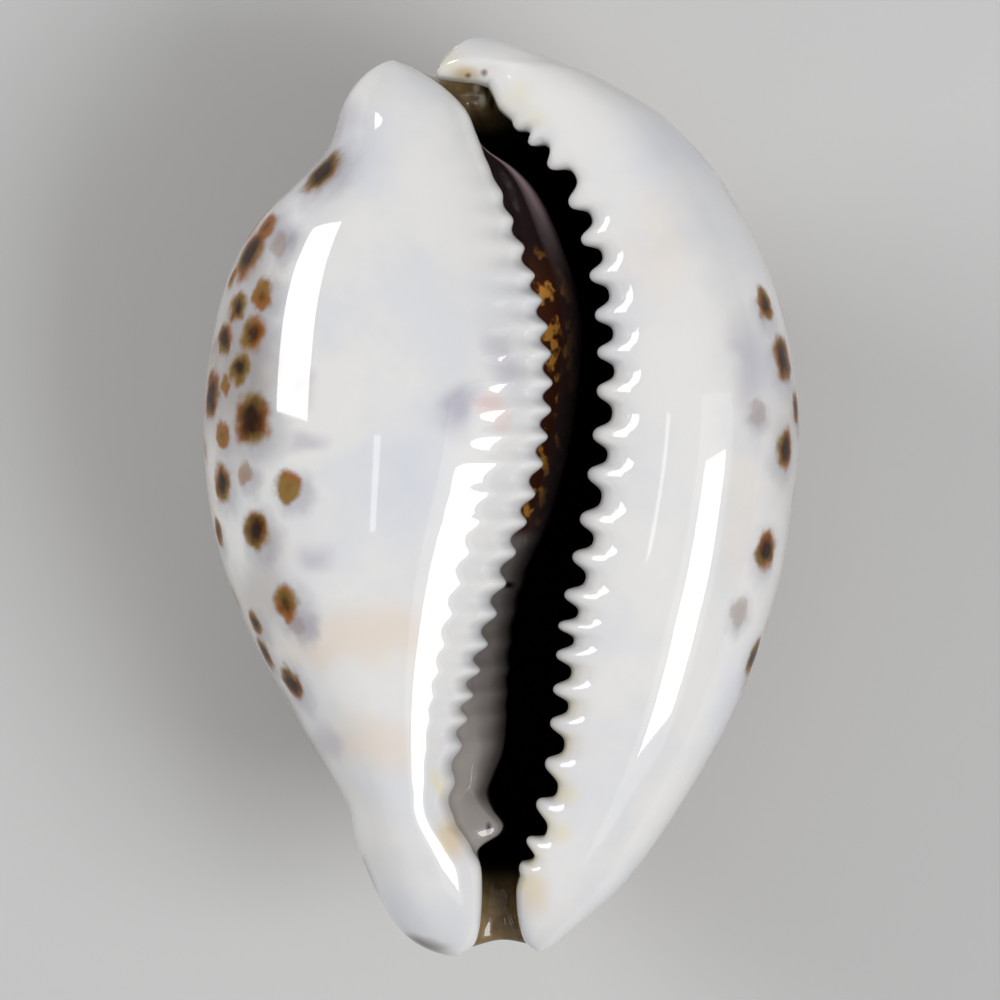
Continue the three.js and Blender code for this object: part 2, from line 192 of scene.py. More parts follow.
# %% Cavity and inner whorl
cavity_share = through((-36, 0), (-34, 0.15), (-31, 0.55), (-27, 0.9), (-22, 1), (22, 1),
                       (28, 0.85), (32, 0.45), (35, 0.1), (37, 0))
cavity_floor = through((-42.6, 31.4), (-38, 30), (-35.4, 27.5), (-32, 18), (-26, 10.4),
                       (-15, 4.8), (-5, 2.6), (2, 2.3), (10, 2.9), (18, 5.0), (27, 10),
                       (32, 17), (35.5, 26), (38.5, 30), (42.6, 31.6))
canal_share = through((-36, 1), (-34.5, 0.85), (-32, 0), (31, 0), (34, 0.7), (36, 1))
whorl_side = through((-35, -1.7), (-33.6, -1.6), (-32.5, -0.7), (-31.6, 0.5), (-30.6, 0.8),
                     (-29.1, -0.3), (-27.6, -0.9), (-26.2, -0.6), (-23.7, 0.2),
                     (-18, 0.6), (-13, 1.1), (-8, 2.3), (-0.4, 5.2), (6, 6.8), (13, 7.6),
                     (18.1, 7.4), (23.9, 5.7), (29.3, 3.2), (34, -0.8), (37, -4))
whorl_radius = through((-35, 1.5), (-30.7, 3.2), (-20, 6.6), (-10, 8.8), (0, 11),
                       (8, 11.8), (16, 11.2), (24, 8.8), (30, 5.5), (36, 1.5))
whorl_turn = through((-36, 4), (-30, 60), (-24, 130), (-14, 252), (18, 252), (25, 150),
                     (31, 60), (36, 4))
whorl_height = through((-35, 32), (-26, 29.5), (-12, 27), (0, 25), (8, 24.5),
                       (20, 25.5), (30, 29), (36, 31.5))
MARGIN_WALL = 4.2
BASE_WALL = 4.8
LIP_WALL = 2.4
WHORL_WALL = 1.3
WHORL_ROOT = 52
WHORL_TIGHTENING = 0.9
print("the inner whorl turns", whorl_turn(0), "degrees at a radius of", whorl_radius(0), "mm")

# %% [markdown]
# ## Teeth
#
# Both lips carry teeth, and they are not evenly spaced. Each could be a body of its
# own, joined to the lip, but real teeth grow out of it without a seam, so they are a
# wave in the sheet. The tables give each tooth's place. A curve through the places
# counts the teeth, and a cosine of the count has a crest at each. The labral teeth
# are stout and round, so there a `tanh` fills out the crests, and the columellar
# ridges are thinner, so there a power narrows them.

# %% Tooth places and sizes
LABRAL_TEETH = (-34.6, -31.9, -28.3, -24.6, -20.9, -17.8, -14.6, -11.9, -9.0, -5.5,
                -2.0, 2.1, 5.7, 9.7, 13.2, 16.6, 20.2, 23.5, 26.9, 30.5, 32.9, 34.7)
COLUMELLAR_TEETH = (-29.6, -26.5, -23.1, -20.6, -18.4, -16.1, -13.7, -10.9, -8.1, -5.3,
                    -2.5, 0.1, 2.9, 5.4, 7.9, 10.4, 13.1, 15.6, 18.1, 20.4, 23.0, 25.6, 28.1, 31)


def tooth_count(places):
    """A curve that grows by one from each tooth to the next."""
    ends = (places[0] - 3, *places, places[-1] + 3)
    return through(*[(place, i) for i, place in enumerate(ends)])


labral_count = tooth_count(LABRAL_TEETH)
columellar_count = tooth_count(COLUMELLAR_TEETH)
labral_size = through((-37, 0), (-35.5, 0.2), (-33.5, 0.6), (-31.5, 1), (29, 1), (32, 0.6),
                      (35, 0.3), (37, 0))
columellar_size = through((-32, 0), (-30, 0.15), (-27, 0.5), (-23, 0.9), (-16, 1.2),
                          (0, 1.1), (22, 0.85), (30, 0.15), (33, 0))
fossula = through((-33, 0), (-29, 0.7), (-24, 1), (-10, 1), (-3, 0))
LABRAL_TOOTH = 1.45
COLUMELLAR_TOOTH = 0.8
LABRAL_FULLNESS = 1.3
LABRAL_GAP_SHARE = 0.12
COLUMELLAR_CREST = 1.1
MOST_LEAN = 0.8
ANTERIOR_LEAN = 0.3


def labral_gap(count):
    """0 on the crest of a round tooth and 1 in the round bite beside it."""
    def bulge(wave):
        return math.tanh(LABRAL_FULLNESS * (wave - LABRAL_GAP_SHARE))

    return (bulge(1) - bulge(math.cos(2 * math.pi * count))) / (bulge(1) - bulge(-1))


def columellar_gap(count):
    """0 on the crest of a thin ridge and 1 in the wide gap beside it."""
    return 1 - (0.5 + 0.5 * math.cos(2 * math.pi * count)) ** COLUMELLAR_CREST


def lean(along):
    """How far a labral ridge moves along the shell for each mm away from the slit."""
    slope = (labral_edge(along + 1) - labral_edge(along - 1)) / 2
    slant = -slope - ANTERIOR_LEAN * ease(-along, 18, 30)
    return min(max(slant, -MOST_LEAN), MOST_LEAN) * ease(HALF_LENGTH - abs(along), 5, 10)


print(len(LABRAL_TEETH), "labral and", len(COLUMELLAR_TEETH), "columellar teeth")

# %% [markdown]
# ## One section
#
# A section across the shell is two curves side by side, the outer face and the inner
# face of the sheet. Each is made of short stretches. Most are a quarter of a
# superellipse, from a level crest to an upright side, because such quarters meet
# without a corner whatever their sizes are. One closed spline through a few points
# would be shorter, but it swings out between them when the points move.

# %% Quarter arches and the stretches of a section
RIGHT_ANGLE = math.pi / 2
CROWDING = 1.3
LEFT_CREST_SHARE = 0.42
RIGHT_CREST_SHARE = 0.45
BOTTOM_SHARE = 0.1
CANAL_LEVEL = 31
CANAL_ROOM = 1.4
NECK_SHARE = 0.45
ROOF_SHARE = 0.4
OUTER_POWER = 2.1
LIP_END = (0.7, 1.2)
UNDER_LIP = (2.6, 1.8)
NECK_SIDE = 0.5
TIP_TAPER = 6
CANAL_DROP_OUT = (1.2, 0.8)
CANAL_DROP_IN = (1.2, 1.6)


def arch(crest, side, power, t):
    """A point of the quarter from a level crest, at t = 0, to an upright side, at 1."""
    across = math.sin(t * RIGHT_ANGLE) ** (2 / power)
    up = max(math.cos(t * RIGHT_ANGLE), 0.0) ** (2 / power)
    return (crest[0] + (side[0] - crest[0]) * across, side[1] + (crest[1] - side[1]) * up)


def crowd(t):
    """Draws the columns together at the bottom of the dome."""
    return max(t, 0.0) ** CROWDING


def section(along):
    """The stretches at one place: a curve of the outer face and one of the inner face."""
    edge_c = (columellar_edge(along), columellar_height(along))
    edge_l = (labral_edge(along), labral_height(along))
    left = left_side(along)
    right = right_side(along)
    level = flank_height(along)
    share = cavity_share(along)
    canal = canal_share(along)
    crest_l = (lerp(edge_c[0], left, LEFT_CREST_SHARE), left_crest(along))
    crest_r = (lerp(edge_l[0], right, RIGHT_CREST_SHARE), right_crest(along))
    slit_middle = lerp(edge_c[0], edge_l[0], 0.5)
    bottom = (slit_middle * BOTTOM_SHARE, dome_height(along))
    margin_l = (left, level)
    margin_r = (right, level)
    floor = (lerp(slit_middle, bottom[0], share), cavity_floor(along))
    middle = lerp(max(floor[1] + CANAL_ROOM, CANAL_LEVEL), level, share)
    inside_l = (lerp(edge_c[0], left + MARGIN_WALL, share), middle)
    inside_r = (lerp(edge_l[0], right - MARGIN_WALL, share), middle)
    roof_l = mix((edge_c[0], edge_c[1] - LIP_WALL), (crest_l[0] - 1, crest_l[1] - BASE_WALL),
                 share)
    roof_r = mix((edge_l[0], edge_l[1] - LIP_WALL), (crest_r[0] + 1, crest_r[1] - BASE_WALL),
                 share)
    lip_end = (edge_l[0] + LIP_END[0] * share, edge_l[1] - LIP_END[1])
    under_lip = (edge_l[0] + UNDER_LIP[0] * share, edge_l[1] - UNDER_LIP[1] - share)
    radius = whorl_radius(along)
    centre = (whorl_side(along) - radius, whorl_height(along))
    turn = whorl_turn(along)

    def ring(t, reach, drop):
        angle = math.radians(WHORL_ROOT - turn * (1 - t))
        reach *= lerp(WHORL_TIGHTENING, 1, t)
        point = (centre[0] + reach * math.cos(angle), centre[1] + reach * math.sin(angle))
        return mix(point, (edge_c[0], edge_c[1] - drop), canal)

    def whorl_out(t):
        return ring(t, radius, lerp(*CANAL_DROP_OUT, t))

    def whorl_in(t):
        return ring(t, radius - WHORL_WALL * min(1, t * TIP_TAPER), lerp(*CANAL_DROP_IN, t))

    root_out = whorl_out(1)
    root_in = whorl_in(1)
    neck = (edge_c[0] - NECK_SIDE * (1 - canal), lerp(root_out[1], edge_c[1], NECK_SHARE))
    return {
        "whorl": (whorl_out, whorl_in),
        "columella": (lambda t: mix(mix(root_out, neck, t), mix(neck, edge_c, t), t),
                      lambda t: mix(root_in, roof_l, t * ROOF_SHARE)),
        "base_left": (lambda t: arch(crest_l, edge_c, 2, 1 - t),
                      lambda t: mix(root_in, roof_l, lerp(ROOF_SHARE, 1, t))),
        "flank_left": (lambda t: arch(crest_l, margin_l, OUTER_POWER, t),
                       lambda t: arch(roof_l, inside_l, 2, t)),
        "back_left": (lambda t: arch(bottom, margin_l, OUTER_POWER, crowd(1 - t)),
                      lambda t: arch(floor, inside_l, OUTER_POWER, crowd(1 - t))),
        "back_right": (lambda t: arch(bottom, margin_r, OUTER_POWER, crowd(t)),
                       lambda t: arch(floor, inside_r, OUTER_POWER, crowd(t))),
        "flank_right": (lambda t: arch(crest_r, margin_r, OUTER_POWER, 1 - t),
                        lambda t: arch(roof_r, inside_r, 2, 1 - t)),
        "base_right": (lambda t: arch(crest_r, edge_l, 2, t),
                       lambda t: mix(roof_r, under_lip, t)),
        "labral_lip": (lambda t: mix(edge_l, lip_end, t), lambda t: mix(under_lip, lip_end, t)),
    }


print("one section runs through", ", ".join(section(0)))

# %% [markdown]
# ## The roll
#
# The stretches follow each other round the roll. Each has a length in "strips",
# which the rim tables below use as their ruler, and a number of mesh columns. The
# stretches that carry teeth, and those the eye looks at, get the most columns. At
# both ends of the shell the sheet draws in to a rim, and the tables give the rim's
# place along and across the shell for each strip, and how bluntly it gets there.

# %% Stretches, and how the rims end
STRETCHES = (("whorl", 8, 16), ("columella", 2, 12), ("base_left", 6, 24),
             ("flank_left", 4, 12), ("back_left", 6, 10), ("back_right", 6, 10),
             ("flank_right", 4, 12), ("base_right", 5, 24), ("labral_lip", 1, 5))
STRIPS = sum(stretch[1] for stretch in STRETCHES)
ROUNDING_START = 36
posterior_rim = through((0, 39.0), (9, 39.0), (12, 39.8), (14, 40.2), (18, 40.4), (22, 39.8),
                        (26, 39.2), (30, 40.5), (34, 42.3), (37, 42.5), (39, 42.1),
                        (41, 41.1), (42, 40.8))
anterior_rim = through((0, -41.4), (8, -41.4), (10, -41.8), (12, -42.3), (15, -42.6),
                       (20, -42.4), (26, -41.4), (30, -41.7), (35, -42.2), (38, -42.2),
                       (41, -41.7), (42, -41.4))
posterior_side = through((0, -8.2), (9, -7.8), (12, -8.4), (14, -9.5), (20, -9.8), (23, -8.2),
                         (26, -5.8), (29, -3.4), (33, -1.6), (36, -1.9), (38, -2.9), (40, -4.0),
                         (42, -4.8))
anterior_side = through((0, -2.6), (9, -2.6), (14, -4.0), (20, -4.4), (23, -2.2),
                        (26, -0.1), (29, 2.0), (32, 3.8), (38, 3.6), (42, 2.5))
rim_nearness = through((0, 0.6), (16, 0.6), (24, 0.7), (34, 0.75), (40, 0.55), (42, 0.5))
rim_drop = through((0, 0.6), (10, 0.6), (14, 0), (38, 0), (41, 0.4), (42, 0.4))
end_power = through((0, 3.4), (10, 3.4), (15, 2.4), (18, 2), (34, 2), (38, 2.6), (41, 3.6),
                    (42, 3.6))
inner_end_power = through((0, 3.4), (10, 3.4), (13, 2.4), (20, 2.2), (23, 4), (26, 6),
                          (29, 4), (33, 2.2), (38, 2.4), (41, 3.4), (42, 3.6))
print(STRIPS, "strips from the tip of the inner whorl to the labral lip")

# %% [markdown]
# Teeth push the outer face in between their crests. On a lip's edge that is
# sideways, and over the base it is downwards, so the direction turns with the arch.
# The bites fade out towards the crest of the base, and the fossula, a hollow in the
# columella behind the front ridges, keeps a part of their depth.

# %% Relief of the teeth
LABRAL_FADE = (0.3, 0.95)
INNER_FADE = (0.5, 1)
COLUMELLAR_FADE = (0.02, 0.74)
WHORL_FADE = (0.6, 0.95)
FLUTE_SHARE = 0.35


def tooth_relief(name, t, x, along, inner=False):
    """How far the teeth move a point sideways, along the shell and up."""
    if name in ("base_right", "labral_lip"):
        slant = lean(along)
        place = along - slant * max(x - labral_edge(along), 0)
        depth = LABRAL_TOOTH * labral_size(along) * labral_gap(labral_count(place))
        if name == "labral_lip":
            return (depth, depth * slant, 0.0)
        if inner:
            depth *= ease(t, *INNER_FADE)
            return (depth, depth * slant, 0.0)
        depth *= ease(t, *LABRAL_FADE)
        aside = depth * math.sin(t * RIGHT_ANGLE)
        return (aside, aside * slant, -depth * math.cos(t * RIGHT_ANGLE))
    if inner or name not in ("base_left", "columella", "whorl"):
        return (0.0, 0.0, 0.0)
    depth = COLUMELLAR_TOOTH * columellar_size(along) * columellar_gap(columellar_count(along))
    if name == "base_left":
        depth *= 1 - ease(t, *COLUMELLAR_FADE)
        return (-depth * math.cos(t * RIGHT_ANGLE), 0.0, -depth * math.sin(t * RIGHT_ANGLE))
    if name == "columella":
        return (-depth * max(t, FLUTE_SHARE * fossula(along)), 0.0, 0.0)
    return (-depth * FLUTE_SHARE * fossula(along) * ease(t, *WHORL_FADE), 0.0, 0.0)


bite_at = (LABRAL_TEETH[10] + LABRAL_TEETH[11]) / 2
deepest = tooth_relief("labral_lip", 0, labral_edge(bite_at), bite_at)[0]
print("the labral bite at", round(bite_at, 1), "mm is", round(deepest, 2), "mm deep")

# %% [markdown]
# A tooth is about three millimetres long, so a section every fifth of a millimetre
# draws its round crest with some fifteen points. Where the ends are rounded off, the
# places crowd together by a sine, since the outline turns fastest there.

# %% Places along the shell
PLACE_STEP = 0.205
ROUNDING_STEPS = 20


def places_along():
    rounded = HALF_LENGTH - ROUNDING_START
    ends = [HALF_LENGTH - rounded * (1 - math.sin(RIGHT_ANGLE * i / ROUNDING_STEPS))
            for i in range(1, ROUNDING_STEPS + 1)]
    count = round(2 * ROUNDING_START / PLACE_STEP)
    middle = [-ROUNDING_START + 2 * ROUNDING_START * i / count for i in range(count + 1)]
    return [-end for end in reversed(ends)] + middle + ends


PLACES = places_along()
COLUMNS = []
strip = 0
for name, strips, columns in STRETCHES:
    for i in range(columns):
        t = i / columns
        COLUMNS.append((name, t, strip + t * strips))
    strip += strips
COLUMNS.append(("labral_lip", 1.0, float(STRIPS)))
print(len(PLACES), "places along the shell and", len(COLUMNS), "columns on each face")


# %% [markdown]
# ## Rolling the grid
#
# `bmesh.ops.create_grid` gives a flat square of faces. Its columns are dealt out to
# the outer face, then back along the inner face, and each vertex is moved to its
# place on the section. At the ends the two faces draw together into a round rim.
# `remove_doubles` then welds the two long borders and both rims, and the sheet is a
# closed body.
#
# While it rolls the sheet, the code also paints masks on the vertices: numbers from
# 0 to 1 that say how much a point belongs to the back, the canals, the inner whorl
# and so on. The material reads them later. Their limits are given in strips: the
# inner whorl ends at strip 8, the columella at 10, the left base at 16, the left
# flank at 20, the back at 32, the right flank at 36 and the right base at 41.

# %% Roll the sheet
WELD = 0.0004
DRIFT_START = 28


def section_points(along):
    """Points of one whole loop: the outer face, then back along the inner face."""
    curves = section(along)
    beyond = max(abs(along) - ROUNDING_START, 0) / (HALF_LENGTH - ROUNDING_START)
    rim_place = posterior_rim if along > 0 else anterior_rim
    rim_side = posterior_side if along > 0 else anterior_side
    drift = ease(abs(along), DRIFT_START, HALF_LENGTH)
    outer_row = []
    inner_row = []
    for name, t, strip_at in COLUMNS:
        outer = curves[name][0](t)
        inner = curves[name][1](t)
        full = math.sqrt(max(1 - beyond ** end_power(strip_at), 0))
        inner_full = math.sqrt(max(1 - beyond ** inner_end_power(strip_at), 0))
        rim = (rim_side(strip_at),
               lerp(outer[1], inner[1], rim_nearness(strip_at)) - rim_drop(strip_at))
        bite = tooth_relief(name, t, outer[0], along)
        inner_bite = tooth_relief(name, t, outer[0], along, inner=True)
        outer = mix(rim, (outer[0] + bite[0], outer[1] + bite[2]), full)
        inner = mix(rim, (inner[0] + inner_bite[0], inner[1] + inner_bite[2]), inner_full)
        y = along + (rim_place(strip_at) - math.copysign(HALF_LENGTH, along)) * drift
        outer_row.append((to_metres(outer[0], y + bite[1], max(outer[1], 0)),
                          masks_at(name, t, strip_at, along, y, False)))
        inner_row.append((to_metres(inner[0], y + inner_bite[1], inner[1]),
                          masks_at(name, t, strip_at, along, y, True)))
    return outer_row + inner_row[-2:0:-1] + [outer_row[0]]


MASKS = ("back", "whorl", "ochre", "painted_sheen", "ledge", "shade", "canal", "dark", "valley",
         "flute_shade", "cream")


def masks_at(name, t, strip_at, along, y, inner):
    """How much of each colour zone a point belongs to, in the order of MASKS."""
    depth_of_canal = max(ease(-y, 34.2, 37.2), ease(y, 33.5, 38.5))
    # The inner face is tan in the canals and painted dark between them, as painted
    # shade, up to the lip.
    if inner:
        floor = ease(strip_at, 12, 19) * (1 - ease(strip_at, 33, 40))
        lip = ease(t, 0.3, 1) if name == "labral_lip" else 0.0
        outward = max(ease(-y, 38, 40), ease(y, 38, 40)) * (1 - floor)
        tan_part = (1 - lip) * (1 - outward)
        return (0, 0, 0, 0, 0, 0, tan_part, (1 - depth_of_canal) * (1 - lip), 0, 0, 0)
    # On the outer face, the back starts under both flanks, and the slit's left wall
    # runs from the inner whorl to the columellar edge.
    back = ease(strip_at, 18.6, 20.6) * (1 - ease(strip_at, 31.2, 33.2))
    wall = 1 - ease(strip_at, 9.3, 9.95)
    hidden = 1 - ease(strip_at, 5.2, 5.9)
    in_canal = max(ease(-y, 32.6, 34.6), ease(y, 32.5, 35.5))
    # The posterior half of that wall shows the whorl, the anterior half the ledge.
    lower = ease(-y, 3.0, 5.5) * (1 - in_canal)
    upper = (1 - lower) * (1 - in_canal)
    ledge = lower * (1 - ease(strip_at, 9.5, 10.3))
    ochre = upper * ease(strip_at, 6.8, 7.6) * (1 - ease(y, 19, 24))
    # This mask is a painted reflection: a violet sheen where the whorl turns away.
    painted_sheen = upper * (1 - ease(strip_at, 6.6, 7.3))
    # The shade mask is painted shade: it darkens the ledge away from the columellar edge, less
    # on the terminal fold.
    shade = ledge * (1 - ease(strip_at, 6.3, 9.4)) * (1 - 0.8 * ease(-y, 27.5, 30))
    # The gaps between the teeth are dark in the slit, grey on the base, where the grey
    # is painted shade in the flutes, and cream at the anterior labral teeth.
    gap = columellar_gap(columellar_count(along)) * columellar_size(along)
    valley = min(gap, 1) * (1 - ease(strip_at, 9.9, 10.9)) * upper * ease(strip_at, 8.5, 9.6)
    # The flute mask is painted shade: grey between the columellar ridges on the base.
    flute_shade = min(gap, 1) * ease(strip_at, 9.8, 10.4) * (1 - ease(strip_at, 11, 13.6))
    cream = labral_gap(labral_count(along)) * ease(strip_at, 37.6, 39.8) * ease(-y, 8, 26)
    # The dark mask is painted shade: the hidden underside of the whorl and the inner end of each
    # canal are painted almost black.
    dark = max(hidden * (1 - in_canal), wall * in_canal * (1 - depth_of_canal))
    return (back, wall * upper, ochre, painted_sheen, ledge, shade, wall * in_canal, dark, valley,
            flute_shade, cream)


def roll_shell():
    """Makes the shell's object from a grid, with its masks."""
    loop_length = 2 * len(COLUMNS) - 2
    bm = bmesh.new()
    bmesh.ops.create_grid(bm, x_segments=loop_length, y_segments=len(PLACES) - 1, size=0.5)
    layers = [bm.verts.layers.float.new(mask) for mask in MASKS]
    rows = [section_points(along) for along in PLACES]
    for vertex in bm.verts:
        column = round((vertex.co.x + 0.5) * loop_length)
        row = round((vertex.co.y + 0.5) * (len(PLACES) - 1))
        place, masks = rows[row][column]
        vertex.co = place
        for layer, amount in zip(layers, masks):
            vertex[layer] = amount
    bmesh.ops.remove_doubles(bm, verts=bm.verts, dist=WELD * MM)
    bmesh.ops.dissolve_degenerate(bm, edges=bm.edges, dist=WELD * MM)
    if bm.calc_volume(signed=True) < 0:
        bmesh.ops.reverse_faces(bm, faces=bm.faces)
    for face in bm.faces:
        face.smooth = True
    mesh = bpy.data.meshes.new("cowrie")
    bm.to_mesh(mesh)
    open_edges = sum(1 for edge in bm.edges if not edge.is_manifold)
    print("shell:", len(bm.faces), "faces, volume",
          round(bm.calc_volume() * 1e6, 1), "cm3,", open_edges, "open edges")
    bm.free()
    cowrie = bpy.data.objects.new("cowrie", mesh)
    bpy.context.scene.collection.objects.link(cowrie)
    return cowrie


cowrie = roll_shell()
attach(cowrie, "root")
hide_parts("cowrie_shell")

# %% [markdown]
# ## Colour, from the bottom up
#
# The shell's colour is laid on in layers, each through a mask. An image could be
# painted for it instead, but it would stretch where the sheet bulges, and noise and
# distances in space give clean colour at any size. `add` makes one node and fills its
# sockets in order: a number sets a socket, another node's output is linked to it.
# `soft_step` turns a value into a smooth 0-to-1 mask, and `blend` lays one colour
# over another through such a mask.

# %% Helpers for node trees
def add(tree, kind, *values, **settings):
    made = tree.nodes.new(kind)
    for key, value in settings.items():
        setattr(made, key, value)
    for socket, value in zip(made.inputs, values):
        if isinstance(value, bpy.types.NodeSocket):
            tree.links.new(value, socket)
        elif value is not None:
            socket.default_value = value
    return made


def maths(tree, operation, a, b=None, c=None):
    return add(tree, "ShaderNodeMath", a, b, c, operation=operation).outputs[0]


def vector_maths(tree, operation, a, b=None):
    return add(tree, "ShaderNodeVectorMath", a, b, operation=operation).outputs[0]


def soft_step(tree, value, low, high, bottom=0.0, top=1.0):
    made = add(tree, "ShaderNodeMapRange", value, low, high, bottom, top,
               interpolation_type="SMOOTHSTEP")
    return made.outputs[0]


def blend(tree, mask, below, above):
    made = tree.nodes.new("ShaderNodeMix")
    made.data_type = "RGBA"
    for socket, value in ((made.inputs[0], mask), (made.inputs[6], below),
                          (made.inputs[7], above)):
        if isinstance(value, bpy.types.NodeSocket):
            tree.links.new(value, socket)
        else:
            socket.default_value = value
    return made.outputs[2]


def noise(tree, place, scale, detail=2.0, roughness=0.5):
    made = tree.nodes.new("ShaderNodeTexNoise")
    tree.links.new(place, made.inputs["Vector"])
    made.inputs["Scale"].default_value = scale
    made.inputs["Detail"].default_value = detail
    made.inputs["Roughness"].default_value = roughness
    return made


def vertex_mask(tree, name):
    made = tree.nodes.new("ShaderNodeAttribute")
    made.attribute_name = name
    return made.outputs["Fac"]


porcelain = bpy.data.materials.new("porcelain")
porcelain.use_nodes = True
tree = porcelain.node_tree
shader = tree.nodes["Principled BSDF"]
print("a new material starts with", ", ".join(node.name for node in tree.nodes))

# %% [markdown]
# One flank spot has three parts. Pigment was laid down, then more enamel covered it,
# so there is a near-black core, a brown halo round it, and a soft grey shadow where
# the stain shows through deeper layers. The group takes the three masks so far and
# returns them with one more spot added, so spots can be chained. A weaker spot has a
# smaller core, and the weakest have only a pale halo. The stains of the base are
# simpler, one soft ellipse each, so they get a group of their own.

# %% The spot group and the patch group
CORE_LIMITS = (1.3, 0.4)
HALO_LIMITS = (1.55, 0.85)
SHADOW_LIMITS = (2.6, 0.8)
SHADOW_OFFSET = (0.7, -0.6, 0.3)
CORE_SHRINKING = 0.8
CORE_DEPTH = 1.3
HALO_COVER = (4.0, 0.15)


def make_spot_group():
    """Adds one spot to the masks of the spots before it; limits are in spot radii."""
    group = bpy.data.node_groups.new("spot", "ShaderNodeTree")
    sockets = group.interface
    for name, kind in (("Place", "NodeSocketVector"), ("Centre", "NodeSocketVector"),
                       ("Radius", "NodeSocketFloat"), ("Strength", "NodeSocketFloat"),
                       ("Core", "NodeSocketFloat"), ("Halo", "NodeSocketFloat"),
                       ("Shadow", "NodeSocketFloat")):
        sockets.new_socket(name, in_out="INPUT", socket_type=kind)
    for name in ("Core", "Halo", "Shadow"):
        sockets.new_socket(name, in_out="OUTPUT", socket_type="NodeSocketFloat")
    given = group.nodes.new("NodeGroupInput").outputs
    result = group.nodes.new("NodeGroupOutput").inputs
    away = add(group, "ShaderNodeVectorMath", given["Place"], given["Centre"],
               operation="DISTANCE").outputs["Value"]
    near = maths(group, "DIVIDE", away, given["Radius"])
    strength = given["Strength"]
    lost = maths(group, "MULTIPLY_ADD", strength, -CORE_SHRINKING, CORE_SHRINKING)
    shrunk = maths(group, "ADD", near, lost)
    depth = maths(group, "MINIMUM", maths(group, "MULTIPLY", strength, CORE_DEPTH), 1.0)
    core = maths(group, "MULTIPLY", soft_step(group, shrunk, *CORE_LIMITS), depth)
    cover = maths(group, "MULTIPLY_ADD", strength, *HALO_COVER)
    cover = maths(group, "MINIMUM", cover, 1.0)
    halo = maths(group, "MULTIPLY", soft_step(group, near, *HALO_LIMITS), cover)
    shadow_centre = vector_maths(group, "ADD", given["Centre"], SHADOW_OFFSET)
    shadow_away = add(group, "ShaderNodeVectorMath", given["Place"], shadow_centre,
                      operation="DISTANCE").outputs["Value"]
    shadow_near = maths(group, "DIVIDE", shadow_away, given["Radius"])
    shadow = soft_step(group, shadow_near, *SHADOW_LIMITS)
    group.links.new(maths(group, "MAXIMUM", core, given["Core"]), result["Core"])
    group.links.new(maths(group, "MAXIMUM", halo, given["Halo"]), result["Halo"])
    group.links.new(maths(group, "MAXIMUM", shadow, given["Shadow"]), result["Shadow"])
    return group


def make_patch_group():
    """A soft ellipse: 1 in its centre, 0 outside its radii."""
    group = bpy.data.node_groups.new("patch", "ShaderNodeTree")
    sockets = group.interface
    for name in ("Place", "Centre", "Radii"):
        sockets.new_socket(name, in_out="INPUT", socket_type="NodeSocketVector")
    sockets.new_socket("Mask", in_out="OUTPUT", socket_type="NodeSocketFloat")
    given = group.nodes.new("NodeGroupInput").outputs
    result = group.nodes.new("NodeGroupOutput").inputs
    offset = vector_maths(group, "SUBTRACT", given["Place"], given["Centre"])
    scaled = vector_maths(group, "DIVIDE", offset, given["Radii"])
    length = add(group, "ShaderNodeVectorMath", scaled, operation="LENGTH").outputs["Value"]
    group.links.new(soft_step(group, length, 1.0, 0.1), result["Mask"])
    return group


spot_group = make_spot_group()
patch_group = make_patch_group()
for made_group in (spot_group, patch_group):
    print(made_group.name, "group has the sockets",
          ", ".join(item.name for item in made_group.interface.items_tree))

# %% [markdown]
# The spots that can be seen from above the base are listed: x and y in table
# millimetres, a radius, and a strength from 0 to 1. `height_on_flank` walks down the
# flank's arch to find z. Patches have a centre, two radii, a colour and a strength.
# They stand for the peach bands, the grey and violet stains deep in the enamel, the
# tan marks at both canals and a dark olive patch at the anterior left end. Some are
# painted shade: the olive grey towards both margins, which is partly the flanks' own
# ground, and the black in two pits and a groove of the slit.

# %% Spots and patches
LEFT_SPOTS = ((-16.5, 30.0, 1.7, 1.0), (-21.8, 24.8, 1.3, 0.5), (-23.3, 22.4, 1.9, 0.95),
              (-20.4, 23.2, 0.9, 0.06), (-24.4, 17.4, 1.1, 0.8), (-22.0, 18.5, 1.1, 0.5),
              (-25.6, 14.6, 1.2, 0.9), (-22.8, 14.9, 1.3, 0.7), (-24.0, 11.8, 1.1, 0.8),
              (-26.9, 9.4, 1.7, 1.0), (-25.4, 10.4, 0.8, 0.3), (-22.9, 7.0, 1.7, 1.0),
              (-25.7, 5.6, 0.9, 0.3), (-25.8, 1.1, 1.3, 0.9), (-23.5, 2.1, 0.8, 0.12),
              (-19.4, 0.9, 1.0, 0.22), (-22.5, -3.2, 1.3, 0.9), (-26.3, -3.4, 1.0, 0.7),
              (-19.6, -9.9, 1.2, 0.65), (-18.7, -11.7, 0.8, 0.04), (-22.7, -11.8, 1.0, 0.8),
              (-21.8, -14.7, 1.2, 0.9), (-19.3, -17.2, 1.3, 0.95), (-24.9, 20.4, 0.8, 0.4))
RIGHT_SPOTS = ((24.5, 17.6, 1.2, 0.7), (26.2, 12.7, 1.6, 0.95), (23.6, 7.6, 0.8, 0.03),
               (27.5, 8.3, 1.2, 0.8), (26.4, 4.3, 1.4, 0.9), (24.6, -5.0, 1.4, 0.9),
               (22.0, -10.7, 1.0, 0.05), (23.5, -15.0, 1.3, 0.9))
SPOT_SPREAD = 1.15
WARM = (0.82, 0.68, 0.55, 1)
TAN = (0.62, 0.47, 0.26, 1)
GREY_VIOLET = (0.44, 0.42, 0.50, 1)
CREAM = (0.80, 0.74, 0.52, 1)
STAIN = (0.76, 0.62, 0.42, 1)
ROSE = (0.80, 0.62, 0.58, 1)
BLUISH = (0.62, 0.66, 0.80, 1)
